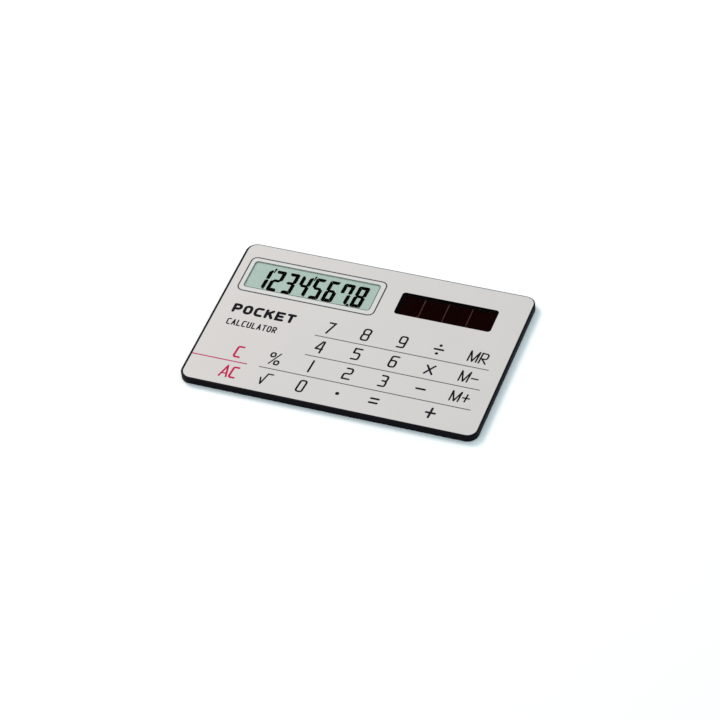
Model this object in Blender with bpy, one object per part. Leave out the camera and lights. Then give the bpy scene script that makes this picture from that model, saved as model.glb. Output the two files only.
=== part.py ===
"""Credit-card-size solar calculator, modelled as its separate pieces.

X runs along the width, Y towards the display edge and Z up. The origin is the centre of the underside.
Every size and place below is in millimetres, and each mesh is scaled to metres when its object is made.
"""

import math

import bmesh
import bpy
from mathutils import Matrix

METRES_PER_MM = 0.001

# Body
BODY_WIDTH = 85.5
BODY_DEPTH = 54.0
BODY_HEIGHT = 2.2
BODY_CORNER_RADIUS = 3.18
FRAME_LIP = 0.45  # width of the rim that shows round the face sheet
FRAME_LIP_DROP = 0.08  # the rim lies this far below the face sheet
BOTTOM_EDGE_ROUNDING = 0.35
TOP_EDGE_ROUNDING = 0.1
PLAN_CLEARANCE = 0.05  # sideways, between a sheet and the recess that holds it
LAYER_CLEARANCE = 0.03  # between one layer of the stack and the next
PIECE_CLEARANCE = 0.1  # sideways, between a loose piece and its bay

# Face sheet and the layers below it
SHEET_THICKNESS = 0.25
ADHESIVE_THICKNESS = 0.05
REAR_COVER_THICKNESS = 0.24
REAR_COVER_INSET = 1.1  # from the outside of the body
BOARD_THICKNESS = 0.3
BOARD_UNDERSIDE = 1.16
SPACER_THICKNESS = 0.43

# Keys
COLUMN_PITCH = 10.5
FIRST_COLUMN_X = -29.8
MEMORY_COLUMN_X = 33.8
ROW_PITCH = 7.62
FIRST_ROW_Y = 1.35
KEY_WIDTH = 8.6
KEY_DEPTH = 6.0
KEY_CORNER_RADIUS = 1.0
KEY_CLEARANCE = 0.12
PILL_RADIUS = 1.6
PILL_HEIGHT = 0.23

# Display
DISPLAY_X = -19.5
DISPLAY_Y = 15.35
DISPLAY_OPENING = (37.2, 10.0)
DISPLAY_OPENING_RADIUS = 0.8
WINDOW_THICKNESS = 0.22
POLARIZER = (38.7, 11.4, 0.12)
FRONT_GLASS = (39.6, 12.4, 0.5)
CONTACT_LEDGE = 1.5  # the rear glass reaches this far past the front glass, towards the keys
REFLECTOR_THICKNESS = 0.15
FOAM_PAD = (36.0, 9.0)
GLASS_Y = 15.45

# Heat-seal connector from display to circuit board
CONNECTOR_WIDTH = 28.0
CONNECTOR_THICKNESS = 0.06
CONNECTOR_LANDING = 1.2

# Solar cell
SOLAR_X = 20.08
SOLAR_Y = 15.37
SOLAR_OPENING = (27.9, 8.35)
SOLAR_OPENING_RADIUS = 0.9
SOLAR_GLASS = (30.0, 10.4, 1.1)
SOLAR_LAYER = (29.2, 9.6, 0.07)
SOLAR_LEDGE_OPENING = (27.0, 7.4)
LEAD_WIDTH = 1.2
LEAD_THICKNESS = 0.1
LEAD_OFFSET = 11.5  # of each lead, sideways from the middle of the solar cell

# Bays in the frame
BAY_CORNER_RADIUS = 1.0
GLASS_BAY_CORNER_RADIUS = 0.3
GLASS_CORNER_RADIUS = 0.15
CHANNEL_CORNER_RADIUS = 0.2
BOARD_CORNER_RADIUS = 0.8
KEYPAD_BAY_HALF_WIDTH = 40.7
KEYPAD_BAY_TOP = 6.95
KEYPAD_BAY_BOTTOM = -25.35
BOARD_LEDGE = 1.3  # the board rests on a ledge this wide
SPACER_TOP = 5.25

# Electronics under the circuit board
COMPONENT_TOP = BOARD_UNDERSIDE - LAYER_CLEARANCE
CHIP_PLACE = (-21.0, -4.0)
CHIP_DROP_RADIUS = 4.5
CHIP_DROP_HEIGHT = 0.66
CAP_STEP = 0.04  # the end caps of a small part stand this far proud of its body
# Name: (length, width, height), length of each end cap, place, material
SMALL_PARTS = {
    "capacitor_1": ((3.2, 1.6, 0.7), 0.5, (8.6, 0.0), "capacitor_ceramic"),
    "capacitor_2": ((2.0, 1.25, 0.6), 0.4, (-12.0, -4.0), "capacitor_ceramic"),
    "voltage_clamp_diode": ((2.7, 1.6, 0.65), 0.35, (20.0, 0.5), "diode_resin"),
    "resistor_1": ((1.6, 0.8, 0.45), 0.3, (-30.5, -4.0), "resistor_ceramic"),
}

# Levels of the stack
SHEET_UNDERSIDE = BODY_HEIGHT - SHEET_THICKNESS
FACE_ADHESIVE_TOP = SHEET_UNDERSIDE - LAYER_CLEARANCE
FACE_ADHESIVE_UNDERSIDE = FACE_ADHESIVE_TOP - ADHESIVE_THICKNESS
DECK = FACE_ADHESIVE_UNDERSIDE - LAYER_CLEARANCE
BOARD_TOP = BOARD_UNDERSIDE + BOARD_THICKNESS
SPACER_UNDERSIDE = BOARD_TOP + LAYER_CLEARANCE
REAR_ADHESIVE_UNDERSIDE = REAR_COVER_THICKNESS + LAYER_CLEARANCE
REAR_ADHESIVE_TOP = REAR_ADHESIVE_UNDERSIDE + ADHESIVE_THICKNESS
REAR_RECESS = REAR_ADHESIVE_TOP + LAYER_CLEARANCE
POLARIZER_UNDERSIDE = SHEET_UNDERSIDE - LAYER_CLEARANCE - POLARIZER[2]
FRONT_GLASS_UNDERSIDE = POLARIZER_UNDERSIDE - LAYER_CLEARANCE - FRONT_GLASS[2]
REAR_GLASS_UNDERSIDE = FRONT_GLASS_UNDERSIDE - LAYER_CLEARANCE - FRONT_GLASS[2]
REFLECTOR_UNDERSIDE = REAR_GLASS_UNDERSIDE - LAYER_CLEARANCE - REFLECTOR_THICKNESS
SOLAR_GLASS_UNDERSIDE = SHEET_UNDERSIDE - PLAN_CLEARANCE - SOLAR_GLASS[2]
SOLAR_LAYER_UNDERSIDE = SOLAR_GLASS_UNDERSIDE - LAYER_CLEARANCE - SOLAR_LAYER[2]
SOLAR_LEDGE = SOLAR_LAYER_UNDERSIDE - LAYER_CLEARANCE

# Each key: name, column, row. The plus key, which is double width, is added on its own.
KEYS = (
    ("7", 2, 0),
    ("8", 3, 0),
    ("9", 4, 0),
    ("divide", 5, 0),
    ("memory_recall", 6, 0),
    ("4", 2, 1),
    ("5", 3, 1),
    ("6", 4, 1),
    ("multiply", 5, 1),
    ("memory_minus", 6, 1),
    ("clear", 0, 2),
    ("percent", 1, 2),
    ("1", 2, 2),
    ("2", 3, 2),
    ("3", 4, 2),
    ("minus", 5, 2),
    ("memory_plus", 6, 2),
    ("all_clear", 0, 3),
    ("square_root", 1, 3),
    ("0", 2, 3),
    ("decimal_point", 3, 3),
    ("equals", 4, 3),
)

CORNER_STEPS = 3
BODY_CORNER_STEPS = 8
ROUND_ANGLE = math.radians(35)

# Name: colour (linear RGB), roughness, metallic
FINISHES = {
    "black_plastic": ((0.012, 0.011, 0.016), 0.45, 0.0),
    "silver_sheet": ((0.61, 0.6, 0.58), 0.38, 0.25),
    "clear_plastic": ((0.8, 0.85, 0.85), 0.08, 0.0),
    "display_green": ((0.44, 0.56, 0.49), 0.3, 0.0),
    "glass": ((0.7, 0.78, 0.75), 0.05, 0.0),
    "reflector_foil": ((0.62, 0.65, 0.6), 0.35, 0.6),
    "grey_foam": ((0.08, 0.08, 0.085), 0.95, 0.0),
    "amber_film": ((0.42, 0.2, 0.04), 0.4, 0.0),
    "solar_silicon": ((0.016, 0.004, 0.003), 0.2, 0.0),
    "tinned_copper": ((0.6, 0.58, 0.55), 0.3, 1.0),
    "board_green": ((0.03, 0.16, 0.07), 0.5, 0.0),
    "white_film": ((0.72, 0.73, 0.74), 0.5, 0.0),
    "adhesive": ((0.55, 0.54, 0.48), 0.6, 0.0),
    "chip_resin": ((0.01, 0.01, 0.01), 0.3, 0.0),
    "capacitor_ceramic": ((0.35, 0.24, 0.14), 0.45, 0.0),
    "diode_resin": ((0.02, 0.02, 0.022), 0.4, 0.0),
    "resistor_ceramic": ((0.03, 0.035, 0.05), 0.5, 0.0),
}


def clear_scene():
    for item in list(bpy.data.objects):
        bpy.data.objects.remove(item, do_unlink=True)


def finish(name):
    """The Principled material of this name, made on first use."""
    material = bpy.data.materials.get(name)
    if material:
        return material
    colour, roughness, metallic = FINISHES[name]
    material = bpy.data.materials.new(name)
    material.use_nodes = True
    shader = material.node_tree.nodes["Principled BSDF"]
    shader.inputs["Base Color"].default_value = (*colour, 1.0)
    shader.inputs["Roughness"].default_value = roughness
    shader.inputs["Metallic"].default_value = metallic
    material.diffuse_color = (*colour, 1.0)
    return material


def rounded_outline(width, depth, radius, centre=(0.0, 0.0), steps=CORNER_STEPS):
    """Points round a rectangle with round corners, anticlockwise. A radius of half each side gives a circle."""
    points = []
    for quarter in range(4):
        sign_x = 1 if quarter in (0, 3) else -1
        sign_y = 1 if quarter in (0, 1) else -1
        corner_x = centre[0] + sign_x * (width / 2 - radius)
        corner_y = centre[1] + sign_y * (depth / 2 - radius)
        for step in range(steps + 1):
            angle = (quarter + step / steps) * math.pi / 2
            points.append((corner_x + radius * math.cos(angle), corner_y + radius * math.sin(angle)))
    if math.isclose(2 * radius, width) and math.isclose(2 * radius, depth):
        # On a circle the end of each quarter is the start of the next, so each is turned half a step.
        count = len(points)
        turns = (math.tau * (index + 0.5) / count for index in range(count))
        points = [
            (centre[0] + radius * math.cos(turn), centre[1] + radius * math.sin(turn)) for turn in turns
        ]
    return points


def add_object(name, mesh_builder, material, location=(0.0, 0.0, 0.0)):
    """An object from a bmesh in millimetres, with its origin at location and its round faces shaded smooth."""
    bmesh.ops.recalc_face_normals(mesh_builder, faces=mesh_builder.faces)
    mesh_builder.transform(Matrix.Scale(METRES_PER_MM, 4))
    mesh = bpy.data.meshes.new(name)
    mesh_builder.to_mesh(mesh)
    mesh_builder.free()
    mesh.shade_smooth()
    mesh.set_sharp_from_angle(angle=ROUND_ANGLE)
    made = bpy.data.objects.new(name, mesh)
    made.location = [value * METRES_PER_MM for value in location]
    bpy.context.scene.collection.objects.link(made)
    mesh.materials.append(finish(material))
    return made


def loft(name, rings, material, location=(0.0, 0.0, 0.0)):
    """A closed solid through rings of equal point counts, each ring an outline and its height."""
    builder = bmesh.new()
    rows = [[builder.verts.new((x, y, z)) for x, y in outline] for outline, z in rings]
    for lower, upper in zip(rows, rows[1:]):
        for index in range(len(lower)):
            after = (index + 1) % len(lower)
            builder.faces.new((lower[index], lower[after], upper[after], upper[index]))
    builder.faces.new(reversed(rows[0]))
    builder.faces.new(rows[-1])
    return add_object(name, builder, material, location)


def slab(name, outline, underside, top, material, location=(0.0, 0.0, 0.0)):
    return loft(name, [(outline, underside), (outline, top)], material, location)


def sheet(name, outlines, underside, top, material):
    """A flat sheet: the first outline is its edge and the others are openings in it."""
    builder = bmesh.new()
    edges = []
    for outline in outlines:
        corners = [builder.verts.new((x, y, underside)) for x, y in outline]
        edges += [builder.edges.new((a, b)) for a, b in zip(corners, corners[1:] + corners[:1])]
    filled = bmesh.ops.triangle_fill(builder, use_beauty=True, edges=edges)
    faces = [item for item in filled["geom"] if isinstance(item, bmesh.types.BMFace)]
    raised = bmesh.ops.extrude_face_region(builder, geom=faces)
    corners = [item for item in raised["geom"] if isinstance(item, bmesh.types.BMVert)]
    bmesh.ops.translate(builder, vec=(0.0, 0.0, top - underside), verts=corners)
    return add_object(name, builder, material)


def ribbon(name, route, width, thickness, centre_x, material):
    """A flat strip that follows a route of (y, z) points, its underside on the route."""
    builder = bmesh.new()
    left, right = centre_x - width / 2, centre_x + width / 2
    profile = route + [(y, z + thickness) for y, z in reversed(route)]
    first = [builder.verts.new((left, y, z)) for y, z in profile]
    second = [builder.verts.new((right, y, z)) for y, z in profile]
    for index in range(len(profile)):
        after = (index + 1) % len(profile)
        builder.faces.new((first[index], first[after], second[after], second[index]))
    builder.faces.new(reversed(first))
    builder.faces.new(second)
    return add_object(name, builder, material)


def cut(target, name, outline, underside, top):
    """Takes a slab out of target with a Boolean whose cutter stays out of the render."""
    cutter = slab(name, outline, underside, top, "black_plastic")
    cutter.hide_render = True
    cutter.display_type = "WIRE"
    boolean = target.modifiers.new(name, "BOOLEAN")
    boolean.operation = "DIFFERENCE"
    boolean.solver = "EXACT"
    boolean.object = cutter


def box_outline(left, right, near, far, radius):
    return rounded_outline(right - left, far - near, radius, ((left + right) / 2, (near + far) / 2))


def opening_round(size, centre):
    """The outline of an opening that clears a plate of this size."""
    clearance = 4 * PIECE_CLEARANCE
    return rounded_outline(size[0] + clearance, size[1] + clearance, GLASS_BAY_CORNER_RADIUS, centre)


def inset_outline(inset):
    """The outline of the body, brought in all round by this much."""
    return rounded_outline(
        BODY_WIDTH - 2 * inset,
        BODY_DEPTH - 2 * inset,
        BODY_CORNER_RADIUS - inset,
        steps=BODY_CORNER_STEPS,
    )


def key_place(column, row):
    x = MEMORY_COLUMN_X if column == 6 else FIRST_COLUMN_X + column * COLUMN_PITCH
    return x, FIRST_ROW_Y - row * ROW_PITCH


def key_layout():
    """Every key's name, centre and width."""
    keys = [(name, key_place(column, row), KEY_WIDTH) for name, column, row in KEYS]
    left = key_place(5, 3)
    right = key_place(6, 3)
    middle = ((left[0] + right[0]) / 2, left[1])
    keys.append(("plus", middle, KEY_WIDTH + right[0] - left[0]))
    return keys


def key_openings():
    return [
        rounded_outline(
            width + 2 * KEY_CLEARANCE,
            KEY_DEPTH + 2 * KEY_CLEARANCE,
            KEY_CORNER_RADIUS + KEY_CLEARANCE,
            centre,
        )
        for _, centre, width in key_layout()
    ]


def make_frame():
    """The moulded frame: rounded outer edges, a recess for each sheet, and bays for what it holds."""
    rounding_turns = [math.radians(30 * step) for step in range(4)]
    rings = [
        (
            inset_outline(BOTTOM_EDGE_ROUNDING * (1 - math.sin(turn))),
            BOTTOM_EDGE_ROUNDING * (1 - math.cos(turn)),
        )
        for turn in rounding_turns
    ]
    rim_top = BODY_HEIGHT - FRAME_LIP_DROP
    rings.append((inset_outline(0.0), rim_top - TOP_EDGE_ROUNDING))
    rings.append((inset_outline(TOP_EDGE_ROUNDING), rim_top))
    frame = loft("frame", rings, "black_plastic")

    beyond = 1.0  # cutters run this far past the faces they open
    above = BODY_HEIGHT + beyond
    below = REAR_RECESS / 2
    cut(frame, "front_recess_cutter", inset_outline(FRAME_LIP - PLAN_CLEARANCE), DECK, above)
    cut(frame, "rear_recess_cutter", inset_outline(REAR_COVER_INSET - PIECE_CLEARANCE), -beyond, REAR_RECESS)
    bay = KEYPAD_BAY_HALF_WIDTH
    cut(
        frame,
        "keypad_bay_cutter",
        box_outline(-bay, bay, KEYPAD_BAY_BOTTOM, KEYPAD_BAY_TOP, BAY_CORNER_RADIUS),
        COMPONENT_TOP,
        above,
    )
    bay -= BOARD_LEDGE
    cut(
        frame,
        "component_bay_cutter",
        box_outline(
            -bay,
            bay,
            KEYPAD_BAY_BOTTOM + BOARD_LEDGE,
            KEYPAD_BAY_TOP - BOARD_LEDGE,
            BAY_CORNER_RADIUS,
        ),
        below,
        BOARD_TOP,
    )
    glass_far = GLASS_Y + FRONT_GLASS[1] / 2
    glass_near = GLASS_Y - FRONT_GLASS[1] / 2 - CONTACT_LEDGE
    half = FRONT_GLASS[0] / 2 + PIECE_CLEARANCE
    cut(
        frame,
        "display_bay_cutter",
        box_outline(
            DISPLAY_X - half,
            DISPLAY_X + half,
            glass_near - PIECE_CLEARANCE,
            glass_far + PIECE_CLEARANCE,
            GLASS_BAY_CORNER_RADIUS,
        ),
        below,
        above,
    )
    half = CONNECTOR_WIDTH / 2 + 2 * PIECE_CLEARANCE
    cut(
        frame,
        "connector_notch_cutter",
        box_outline(
            DISPLAY_X - half,
            DISPLAY_X + half,
            KEYPAD_BAY_TOP - BOARD_LEDGE / 2,
            glass_near + CONTACT_LEDGE / 2,
            CHANNEL_CORNER_RADIUS,
        ),
        BOARD_UNDERSIDE + PLAN_CLEARANCE,
        above,
    )
    cut(
        frame,
        "solar_bay_cutter",
        opening_round(SOLAR_GLASS, (SOLAR_X, SOLAR_Y)),
        SOLAR_LEDGE,
        above,
    )
    cut(
        frame,
        "solar_ledge_cutter",
        rounded_outline(*SOLAR_LEDGE_OPENING, GLASS_BAY_CORNER_RADIUS, (SOLAR_X, SOLAR_Y)),
        below,
        BOARD_TOP,
    )
    for side in (-1, 1):
        middle = SOLAR_X + side * LEAD_OFFSET
        half = LEAD_WIDTH / 2 + 3 * PIECE_CLEARANCE
        cut(
            frame,
            f"lead_channel_cutter_{'left' if side < 0 else 'right'}",
            box_outline(
                middle - half,
                middle + half,
                KEYPAD_BAY_TOP - 1.5 * BOARD_LEDGE,
                SOLAR_Y - SOLAR_LEDGE_OPENING[1] / 4,
                CHANNEL_CORNER_RADIUS,
            ),
            below - LAYER_CLEARANCE,
            SOLAR_LEDGE + PLAN_CLEARANCE,
        )


def make_covers():
    slab("rear_cover", inset_outline(REAR_COVER_INSET), 0.0, REAR_COVER_THICKNESS, "black_plastic")
    bay = KEYPAD_BAY_HALF_WIDTH
    ring_far = GLASS_Y + FRONT_GLASS[1] / 2
    sheet(
        "rear_adhesive",
        [
            inset_outline(REAR_COVER_INSET + PIECE_CLEARANCE),
            box_outline(-bay, bay, KEYPAD_BAY_BOTTOM, ring_far, BAY_CORNER_RADIUS),
        ],
        REAR_ADHESIVE_UNDERSIDE,
        REAR_ADHESIVE_TOP,
        "adhesive",
    )
    display_opening = rounded_outline(*DISPLAY_OPENING, DISPLAY_OPENING_RADIUS, (DISPLAY_X, DISPLAY_Y))
    solar_opening = rounded_outline(*SOLAR_OPENING, SOLAR_OPENING_RADIUS, (SOLAR_X, SOLAR_Y))
    sheet(
        "front_sheet",
        [inset_outline(FRAME_LIP), display_opening, solar_opening, *key_openings()],
        SHEET_UNDERSIDE,
        BODY_HEIGHT,
        "silver_sheet",
    )
    sheet(
        "face_adhesive",
        [
            inset_outline(FRAME_LIP + PIECE_CLEARANCE),
            opening_round(POLARIZER, (DISPLAY_X, GLASS_Y)),
            opening_round(SOLAR_GLASS, (SOLAR_X, SOLAR_Y)),
            box_outline(-bay, bay, KEYPAD_BAY_BOTTOM, KEYPAD_BAY_TOP, BAY_CORNER_RADIUS),
        ],
        FACE_ADHESIVE_UNDERSIDE,
        FACE_ADHESIVE_TOP,
        "adhesive",
    )


def make_display():
    """The window and the stack under it, from the front polarizer down to the foam pad."""
    window = rounded_outline(
        DISPLAY_OPENING[0] - 2 * PLAN_CLEARANCE,
        DISPLAY_OPENING[1] - 2 * PLAN_CLEARANCE,
        DISPLAY_OPENING_RADIUS - PLAN_CLEARANCE,
        (DISPLAY_X, DISPLAY_Y),
    )
    slab("display_window", window, SHEET_UNDERSIDE, SHEET_UNDERSIDE + WINDOW_THICKNESS, "clear_plastic")
    film = rounded_outline(*POLARIZER[:2], GLASS_CORNER_RADIUS, (DISPLAY_X, GLASS_Y))
    slab(
        "lcd_front_polarizer",
        film,
        POLARIZER_UNDERSIDE,
        POLARIZER_UNDERSIDE + POLARIZER[2],
        "display_green",
    )
    width, depth, thickness = FRONT_GLASS
    front = rounded_outline(width, depth, GLASS_CORNER_RADIUS, (DISPLAY_X, GLASS_Y))
    slab("lcd_front_glass", front, FRONT_GLASS_UNDERSIDE, FRONT_GLASS_UNDERSIDE + thickness, "glass")
    rear_centre = (DISPLAY_X, GLASS_Y - CONTACT_LEDGE / 2)
    rear = rounded_outline(width, depth + CONTACT_LEDGE, GLASS_CORNER_RADIUS, rear_centre)
    slab("lcd_rear_glass", rear, REAR_GLASS_UNDERSIDE, REAR_GLASS_UNDERSIDE + thickness, "glass")
    slab(
        "lcd_reflector",
        film,
        REFLECTOR_UNDERSIDE,
        REFLECTOR_UNDERSIDE + REFLECTOR_THICKNESS,
        "reflector_foil",
    )
    pad = rounded_outline(*FOAM_PAD, GLASS_BAY_CORNER_RADIUS, (DISPLAY_X, GLASS_Y))
    slab("lcd_foam_pad", pad, REAR_ADHESIVE_UNDERSIDE, REFLECTOR_UNDERSIDE - LAYER_CLEARANCE, "grey_foam")
    ledge_far = GLASS_Y - FRONT_GLASS[1] / 2 - 2 * PIECE_CLEARANCE
    ledge_near = ledge_far - CONTACT_LEDGE + 4 * PIECE_CLEARANCE
    landing_far = KEYPAD_BAY_TOP - 2 * PIECE_CLEARANCE
    route = [
        (ledge_far, FRONT_GLASS_UNDERSIDE),
        (ledge_near, FRONT_GLASS_UNDERSIDE),
        (landing_far, SPACER_UNDERSIDE),
        (landing_far - CONNECTOR_LANDING, SPACER_UNDERSIDE),
    ]
    ribbon(
        "lcd_heat_seal_connector",
        route,
        CONNECTOR_WIDTH,
        CONNECTOR_THICKNESS,
        DISPLAY_X,
        "amber_film",
    )


def make_solar_cell():
    """The clear window, the glass and the silicon layer under it, and the two leads to the circuit board."""
    window = rounded_outline(
        SOLAR_OPENING[0] - 2 * PLAN_CLEARANCE,
        SOLAR_OPENING[1] - 2 * PLAN_CLEARANCE,
        SOLAR_OPENING_RADIUS - PLAN_CLEARANCE,
        (SOLAR_X, SOLAR_Y),
    )
    slab("solar_window", window, SHEET_UNDERSIDE, SHEET_UNDERSIDE + WINDOW_THICKNESS, "clear_plastic")
    width, depth, thickness = SOLAR_GLASS
    glass = rounded_outline(width, depth, GLASS_CORNER_RADIUS, (SOLAR_X, SOLAR_Y))
    slab("solar_glass", glass, SOLAR_GLASS_UNDERSIDE, SOLAR_GLASS_UNDERSIDE + thickness, "glass")
    width, depth, thickness = SOLAR_LAYER
    layer = rounded_outline(width, depth, GLASS_CORNER_RADIUS, (SOLAR_X, SOLAR_Y))
    slab(
        "solar_cell_layer",
        layer,
        SOLAR_LAYER_UNDERSIDE,
        SOLAR_LAYER_UNDERSIDE + thickness,
        "solar_silicon",
    )
    cell_level = SOLAR_LEDGE - LEAD_THICKNESS
    board_level = COMPONENT_TOP - LEAD_THICKNESS
    bay_edge = KEYPAD_BAY_TOP - BOARD_LEDGE
    rise = 1.2  # along Y, while a lead climbs from the solar cell to the circuit board
    route = [
        (SOLAR_Y - SOLAR_LEDGE_OPENING[1] / 3, cell_level),
        (bay_edge - rise / 3, cell_level),
        (bay_edge - rise / 3 - rise, board_level),
        (bay_edge - 3 * rise, board_level),
    ]
    for name, side in (("solar_lead_positive", -1), ("solar_lead_negative", 1)):
        ribbon(name, route, LEAD_WIDTH, LEAD_THICKNESS, SOLAR_X + side * LEAD_OFFSET, "tinned_copper")


def make_circuit_board():
    half = KEYPAD_BAY_HALF_WIDTH - 1.5 * PIECE_CLEARANCE
    far = KEYPAD_BAY_TOP - PIECE_CLEARANCE
    near = KEYPAD_BAY_BOTTOM + PIECE_CLEARANCE
    board = box_outline(-half, half, near, far, BOARD_CORNER_RADIUS)
    slab("circuit_board", board, BOARD_UNDERSIDE, BOARD_TOP, "board_green")
    sheet(
        "key_spacer_sheet",
        [box_outline(-half, half, near, SPACER_TOP, BOARD_CORNER_RADIUS), *key_openings()],
        SPACER_UNDERSIDE,
        SPACER_UNDERSIDE + SPACER_THICKNESS,
        "white_film",
    )


def make_chip():
    """The resin drop over the bare chip: a low dome that hangs from the underside of the circuit board."""
    rings = []
    for turn in (math.radians(angle) for angle in (12, 30, 50, 70, 90)):
        radius = CHIP_DROP_RADIUS * math.sin(turn)
        outline = rounded_outline(2 * radius, 2 * radius, radius, steps=CORNER_STEPS + 2)
        rings.append((outline, -CHIP_DROP_HEIGHT * math.cos(turn)))
    loft("calculator_chip", rings, "chip_resin", (*CHIP_PLACE, COMPONENT_TOP))


def make_small_part(name, size, cap, place, material):
    """A surface-mounted part lying along X: a body between two end caps that stand a little proud of it."""
    length, width, height = size
    builder = bmesh.new()
    half = length / 2
    sections = [
        (-half, 0.0),
        (-half + cap, 0.0),
        (-half + cap, CAP_STEP),
        (half - cap, CAP_STEP),
        (half - cap, 0.0),
        (half, 0.0),
    ]
    rows = []
    for x, inset in sections:
        reach = width / 2 - inset
        corners = [(-reach, -inset), (reach, -inset), (reach, -height + inset), (-reach, -height + inset)]
        rows.append([builder.verts.new((x, y, z)) for y, z in corners])
    for lower, upper in zip(rows, rows[1:]):
        for index in range(4):
            after = (index + 1) % 4
            builder.faces.new((lower[index], lower[after], upper[after], upper[index]))
    builder.faces.new(reversed(rows[0]))
    builder.faces.new(rows[-1])
    add_object(name, builder, material, (*place, COMPONENT_TOP))


def make_keys():
    """Each key is an area of the face sheet with a contact pill under it, above its contact on the board."""
    pill = rounded_outline(2 * PILL_RADIUS, 2 * PILL_RADIUS, PILL_RADIUS)
    for name, (x, y), width in key_layout():
        pad = rounded_outline(width, KEY_DEPTH, KEY_CORNER_RADIUS)
        rings = [
            (pill, -PILL_HEIGHT),
            (pill, 0.0),
            (pad, 0.0),
            (pad, SHEET_THICKNESS),
        ]
        loft(f"key_{name}", rings, "silver_sheet", (x, y, SHEET_UNDERSIDE))


def main():
    clear_scene()
    make_frame()
    make_covers()
    make_display()
    make_solar_cell()
    make_circuit_board()
    make_chip()
    for name, details in SMALL_PARTS.items():
        make_small_part(name, *details)
    make_keys()


main()
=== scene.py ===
import math

import bmesh
import bpy
from mathutils import Matrix, Vector


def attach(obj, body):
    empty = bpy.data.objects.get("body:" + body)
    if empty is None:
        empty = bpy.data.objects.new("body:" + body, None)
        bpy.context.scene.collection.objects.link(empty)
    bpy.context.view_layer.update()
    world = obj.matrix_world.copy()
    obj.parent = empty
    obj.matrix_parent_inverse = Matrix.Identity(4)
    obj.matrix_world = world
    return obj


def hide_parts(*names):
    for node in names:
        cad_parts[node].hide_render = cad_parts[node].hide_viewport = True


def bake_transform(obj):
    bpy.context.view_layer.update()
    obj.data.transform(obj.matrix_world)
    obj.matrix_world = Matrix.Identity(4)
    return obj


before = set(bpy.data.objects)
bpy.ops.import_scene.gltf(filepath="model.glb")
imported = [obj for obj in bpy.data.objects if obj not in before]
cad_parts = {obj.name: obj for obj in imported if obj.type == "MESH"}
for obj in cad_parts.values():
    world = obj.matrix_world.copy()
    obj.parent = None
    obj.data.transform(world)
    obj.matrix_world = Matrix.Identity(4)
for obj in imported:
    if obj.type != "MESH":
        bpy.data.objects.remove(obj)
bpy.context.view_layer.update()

# Sizes are in millimetres until a finished mesh is scaled to metres.
MM = 0.001

# Body: a spec is a rectangle's width, depth and corner radius, and its centre where that isn't (0, 0)
BODY = (85.5, 54.0, 3.18)
BODY_TOP = 2.2
RIM_TOP = 2.17
DECK = 1.84  # the frame's face under the film
REAR_INSET = 1.1  # from the body's edge to the rear cover's
FILM_INSETS = (0.62, 0.51, 0.58, 0.22)  # from the body's left, right, near and far edges
FILM_BOTTOM = 2.0
FILM_TOP = 2.185
INK_TOP = 2.1998

# Windows in the film
DISPLAY = (37.2, 10.0, 0.8, -19.5, 15.35)
SOLAR = (27.9, 8.35, 0.9, 20.08, 15.37)

# What is printed and shown is laid out from this corner, x to the right and y towards the keys.
FACE_LEFT = -42.3
FACE_FAR = 26.55

# Keys: half sizes of the part of the film that moves as one, and of the part that flexes round it
PAD_HALF = (3.2, 2.45)
FLEX_HALF = (4.6, 3.3)
PLUS_EXTRA = 5.55  # by which each half of the wide plus key is wider
PILL_RADIUS = 1.6  # the contact pill under each pad
PILL_FOOT = 1.72
PILL_BEVEL = 0.05
COLUMNS = [-29.8 + 10.5 * i for i in range(6)] + [33.8]
ROWS = [1.35 - 7.62 * i for i in range(4)]
KEYS = {  # column and row
    "7": (2, 0), "8": (3, 0), "9": (4, 0), "divide": (5, 0), "memory_recall": (6, 0),
    "4": (2, 1), "5": (3, 1), "6": (4, 1), "multiply": (5, 1), "memory_minus": (6, 1),
    "clear": (0, 2), "percent": (1, 2), "1": (2, 2), "2": (3, 2), "3": (4, 2),
    "minus": (5, 2), "memory_plus": (6, 2),
    "all_clear": (0, 3), "square_root": (1, 3), "0": (2, 3), "decimal_point": (3, 3),
    "equals": (4, 3),
}

# Camera and light, in metres
CAMERA_AT = Vector((0.25272, -0.53418, 0.59942))
CAMERA_AXES = (  # right, up and backwards
    (0.93489, 0.34412, -0.08699),
    (-0.19160, 0.69555, 0.69246),
    (0.29879, -0.63070, 0.71620),
)
LENS = 153.95  # in millimetres
LIGHT_AT = Vector((-0.504, 0.294, 0.602))


# ---------------------------------------------------------------- outlines

def ring(spec, inset=0.0, steps=10):
    """Points round a rectangle with round corners, anticlockwise."""
    width, depth, radius, cx, cy = (*spec, 0.0, 0.0)[:5]
    half_w, half_d = width / 2 - inset, depth / 2 - inset
    radius = max(radius - inset, 0.02)
    points = []
    for quarter in range(4):
        sx = 1 if quarter in (0, 3) else -1
        sy = 1 if quarter in (0, 1) else -1
        for step in range(steps + 1):
            turn = (quarter + step / steps) * math.pi / 2
            x = cx + sx * (half_w - radius) + radius * math.cos(turn)
            y = cy + sy * (half_d - radius) + radius * math.sin(turn)
            points.append((x, y))
    return points


def circle(radius, cx, cy, count=40):
    turns = [math.tau * (i + 0.5) / count for i in range(count)]
    return [(cx + radius * math.cos(t), cy + radius * math.sin(t)) for t in turns]


def rectangle(left, right, near, far):
    return [(right, near), (right, far), (left, far), (left, near)]


def film_spec(grown=0.0):
    """The face film's outline, grown all round by this much."""
    left, right, near, far = (inset - grown for inset in FILM_INSETS)
    width, depth, radius = BODY
    radius -= (left + right) / 2
    return width - left - right, depth - near - far, radius, (left - right) / 2, (near - far) / 2


def on_face(x, y):
    """A place in the printed layout, in the frame's coordinates."""
    return FACE_LEFT + x, FACE_FAR - y


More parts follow.
